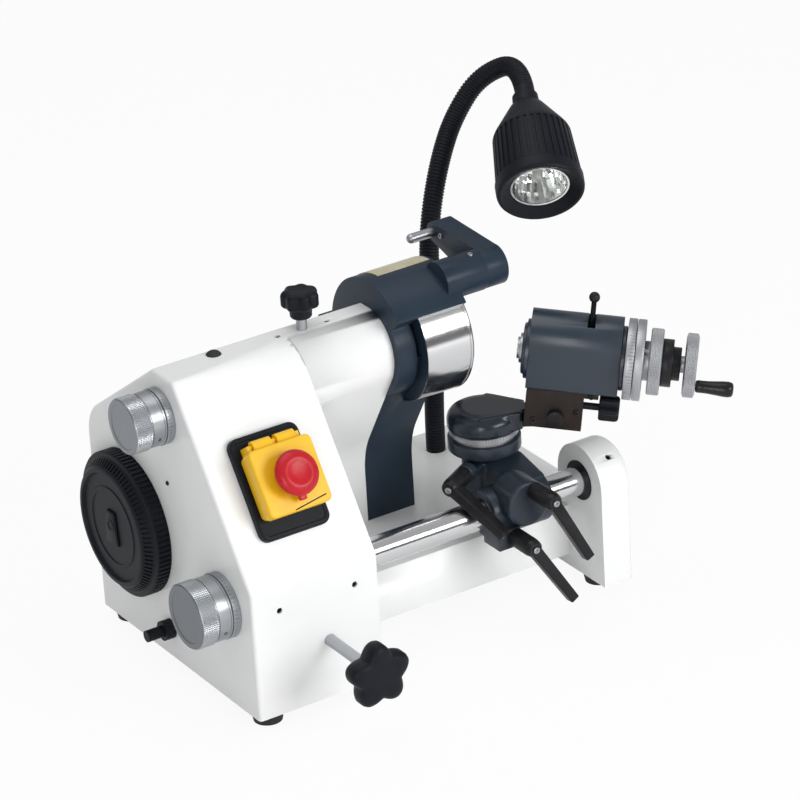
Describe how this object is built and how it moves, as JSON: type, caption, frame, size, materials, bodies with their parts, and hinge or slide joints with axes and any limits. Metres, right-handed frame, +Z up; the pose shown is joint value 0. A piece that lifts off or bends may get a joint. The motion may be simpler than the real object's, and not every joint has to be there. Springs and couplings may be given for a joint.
{
  "type": "universal cutter grinder",
  "caption": "Bench universal cutter grinder with cup wheel, guide bar, swivelling indexing work head, wheel dresser, gooseneck lamp and guarded switch.",
  "frame": {"origin": "on the bench plane under the feet, at the middle of the overall box", "axes": "+X along the guide bar from the feed knobs to the right pedestal, +Y to the back, +Z up"},
  "size_m": [0.4862, 0.3515, 0.4026],
  "materials": {
    "white_paint": "gloss enamel",
    "dark_paint": "semi-gloss enamel",
    "head_paint": "satin enamel",
    "brown_black": "oxidised",
    "ground_steel": "ground",
    "polished_steel": "polished",
    "knob_steel": "knurled and turned",
    "ring_grey": "satin",
    "black_steel": "black oxide",
    "black_plastic": "moulded",
    "black_rubber": "matt",
    "bush_bronze": "dull",
    "abrasive": "vitrified grain",
    "motor_paint": "cast",
    "motor_alloy": "turned",
    "yellow_plastic": "moulded",
    "red_plastic": "moulded",
    "green_plastic": "moulded",
    "bulb": "faceted reflector"
  },
  "bodies": {
    "base": {"base_casting": "white_paint", "wheel_head": "dark_paint", "wheel_guard_ring": "polished_steel", "motor_body": "motor_paint", "motor_end_cap": "black_plastic", "drive_belt": "black_rubber", "zero_rings": "knob_steel", "bar_bushes": "bush_bronze", "rubber_feet": "black_rubber", "casting_screws": "black_steel", "hole_plug": "black_rubber", "cable_gland": "black_plastic", "switch_plate": "black_plastic", "switch_housing": "yellow_plastic"},
    "quill": {"spindle_quill": "ground_steel", "spindle_bearings": "ground_steel"},
    "spindle": {"spindle_shaft": "ground_steel", "spindle_pulley": "ground_steel", "grinding_wheel": "abrasive", "wheel_flange": "ground_steel"},
    "motor_rotor": {"motor_shaft": "ground_steel", "motor_pulley": "motor_alloy"},
    "upper_knob": {"upper_feed_knob": "knob_steel", "upper_feed_screw": "ground_steel"},
    "lower_knob": {"lower_feed_knob": "knob_steel", "lower_feed_screw": "ground_steel"},
    "bar": {"guide_bar": "polished_steel"},
    "top_lock": {"top_lock_knob": "black_plastic", "top_lock_stud": "ground_steel"},
    "front_lock": {"front_lock_knob": "black_plastic", "front_lock_stud": "ground_steel"},
    "cover": {"switch_cover": "yellow_plastic"},
    "stop": {"stop_button": "red_plastic"},
    "start": {"start_button": "green_plastic"},
    "lamp": {"gooseneck": "black_plastic", "lamp_shade": "black_plastic", "lamp_bulb": "bulb"},
    "dresser": {"dresser_arm": "dark_paint", "dresser_diamond": "ground_steel"},
    "carriage": {"bar_clamp": "head_paint"},
    "split_clamp_lever": {"split_lever": "black_plastic"},
    "bracket": {"bar_bracket": "head_paint"},
    "bar_clamp_lever": {"bar_lever": "black_plastic"},
    "post_clamp_lever": {"post_lever": "black_plastic"},
    "swivel": {"swivel_post": "head_paint", "graduated_ring": "ring_grey", "swivel_cap": "head_paint", "tilt_screw": "ground_steel"},
    "tilt": {"tilt_plate": "brown_black", "work_head_body": "head_paint", "index_ring": "ring_grey"},
    "index_pin_lever": {"index_lever": "black_steel"},
    "thumb": {"thumb_screw": "black_steel"},
    "index": {"index_spindle": "ground_steel", "collet": "ground_steel", "index_plate": "ring_grey", "knurled_ring": "ring_grey", "lock_collars": "black_steel"},
    "draw_wheel": {"handwheel": "ring_grey"},
    "crank": {"crank_handle": "black_plastic"}
  },
  "joints": [
    {"name": "upper_feed_turn", "type": "hinge", "parent": "base", "child": "upper_knob", "pos_m": [-0.20715, 0.02775, 0.2385], "axis": [1, 0, 0], "range_deg": [-720, 720]},
    {"name": "quill_feed", "type": "slide", "parent": "base", "child": "quill", "axis": [1, 0, 0], "range_m": [-0.002, 0.002]},
    {"name": "motor_spin", "type": "hinge", "parent": "base", "child": "motor_rotor", "pos_m": [-0.20715, 0.09225, 0.117], "axis": [1, 0, 0], "continuous": true},
    {"name": "spindle_spin", "type": "hinge", "parent": "quill", "child": "spindle", "pos_m": [-0.20715, 0.02775, 0.2385], "axis": [1, 0, 0], "continuous": true},
    {"name": "lower_feed_turn", "type": "hinge", "parent": "base", "child": "lower_knob", "pos_m": [-0.20715, -0.05185, 0.0995], "axis": [1, 0, 0], "range_deg": [-1440, 1440]},
    {"name": "bar_feed", "type": "slide", "parent": "base", "child": "bar", "axis": [1, 0, 0], "range_m": [-0.006, 0.006]},
    {"name": "top_lock_turn", "type": "hinge", "parent": "base", "child": "top_lock", "pos_m": [-0.07115, 0.02775, 0.2745], "axis": [0, 0, 1], "range_deg": [-90, 180]},
    {"name": "front_lock_turn", "type": "hinge", "parent": "base", "child": "front_lock", "pos_m": [-0.13715, -0.09625, 0.062], "axis": [0, 1, 0], "range_deg": [-90, 180]},
    {"name": "cover_lift", "type": "hinge", "parent": "base", "child": "cover", "pos_m": [-0.15015, -0.04873, 0.22709], "axis": [1, 0, 0], "range_deg": [-105, 0]},
    {"name": "stop_push", "type": "slide", "parent": "cover", "child": "stop", "axis": [0, 0.8278, -0.561], "range_m": [0, 0.004], "stiffness_N_per_m": 900, "springref_m": -0.001},
    {"name": "start_push", "type": "slide", "parent": "base", "child": "start", "axis": [0, 0.8278, -0.561], "range_m": [0, 0.002], "stiffness_N_per_m": 600, "springref_m": -0.001},
    {"name": "lamp_swing", "type": "hinge", "parent": "base", "child": "lamp", "pos_m": [0.11185, 0.12675, 0.068], "axis": [0, 0, 1], "range_deg": [-15, 75]},
    {"name": "dresser_swing", "type": "hinge", "parent": "base", "child": "dresser", "pos_m": [0.08685, 0.00575, 0.289], "axis": [1, 0, 0], "range_deg": [-70, 25]},
    {"name": "carriage_slide", "type": "slide", "parent": "bar", "child": "carriage", "axis": [1, 0, 0], "range_m": [-0.012, 0.022]},
    {"name": "split_lever_turn", "type": "hinge", "parent": "carriage", "child": "split_clamp_lever", "pos_m": [0.05935, -0.07525, 0.082], "axis": [0, 1, 0], "range_deg": [-25, 40]},
    {"name": "bracket_swing", "type": "hinge", "parent": "carriage", "child": "bracket", "pos_m": [-0.20715, -0.05185, 0.0995], "axis": [1, 0, 0], "range_deg": [-2.5, 2]},
    {"name": "bar_lever_turn", "type": "hinge", "parent": "bracket", "child": "bar_clamp_lever", "pos_m": [0.07635, -0.08225, 0.1225], "axis": [0, 1, 0], "range_deg": [-20, 40]},
    {"name": "post_lever_turn", "type": "hinge", "parent": "bracket", "child": "post_clamp_lever", "pos_m": [0.04136, -0.02874, 0.127], "axis": [-0.8554, -0.518, 0], "range_deg": [0, 45]},
    {"name": "head_swivel", "type": "hinge", "parent": "bracket", "child": "swivel", "pos_m": [0.07685, -0.00725, 0.129], "axis": [0, 0, 1], "range_deg": [-50, 45]},
    {"name": "head_tilt", "type": "hinge", "parent": "swivel", "child": "tilt", "pos_m": [0.12524, -0.04601, 0.17], "axis": [0.6252, 0.7804, 0], "range_deg": [-6, 4]},
    {"name": "index_lever_turn", "type": "hinge", "parent": "tilt", "child": "index_pin_lever", "pos_m": [0.08211, -0.01146, 0.22867], "axis": [0.7746, -0.6206, -0.1219], "range_deg": [-14, 14]},
    {"name": "thumb_turn", "type": "hinge", "parent": "tilt", "child": "thumb", "pos_m": [0.06994, -0.01875, 0.18847], "axis": [0.7746, -0.6206, -0.1219], "range_deg": [-180, 180]},
    {"name": "index_turn", "type": "hinge", "parent": "tilt", "child": "index", "pos_m": [0.08211, -0.01146, 0.22867], "axis": [0.7746, -0.6206, -0.1219], "continuous": true},
    {"name": "draw_turn", "type": "hinge", "parent": "index", "child": "draw_wheel", "pos_m": [0.08211, -0.01146, 0.22867], "axis": [0.7746, -0.6206, -0.1219], "range_deg": [-360, 360]},
    {"name": "handle_spin", "type": "hinge", "parent": "draw_wheel", "child": "crank", "pos_m": [0.08035, -0.01005, 0.21031], "axis": [0.7746, -0.6206, -0.1219], "continuous": true}
  ],
  "couplings": [
    {"joint": "quill_feed", "follows": "upper_feed_turn", "m_per_rad": 0.00015915},
    {"joint": "bar_feed", "follows": "lower_feed_turn", "m_per_rad": 0.00023873},
    {"joint": "spindle_spin", "follows": "motor_spin", "ratio": 1.8462}
  ]
}
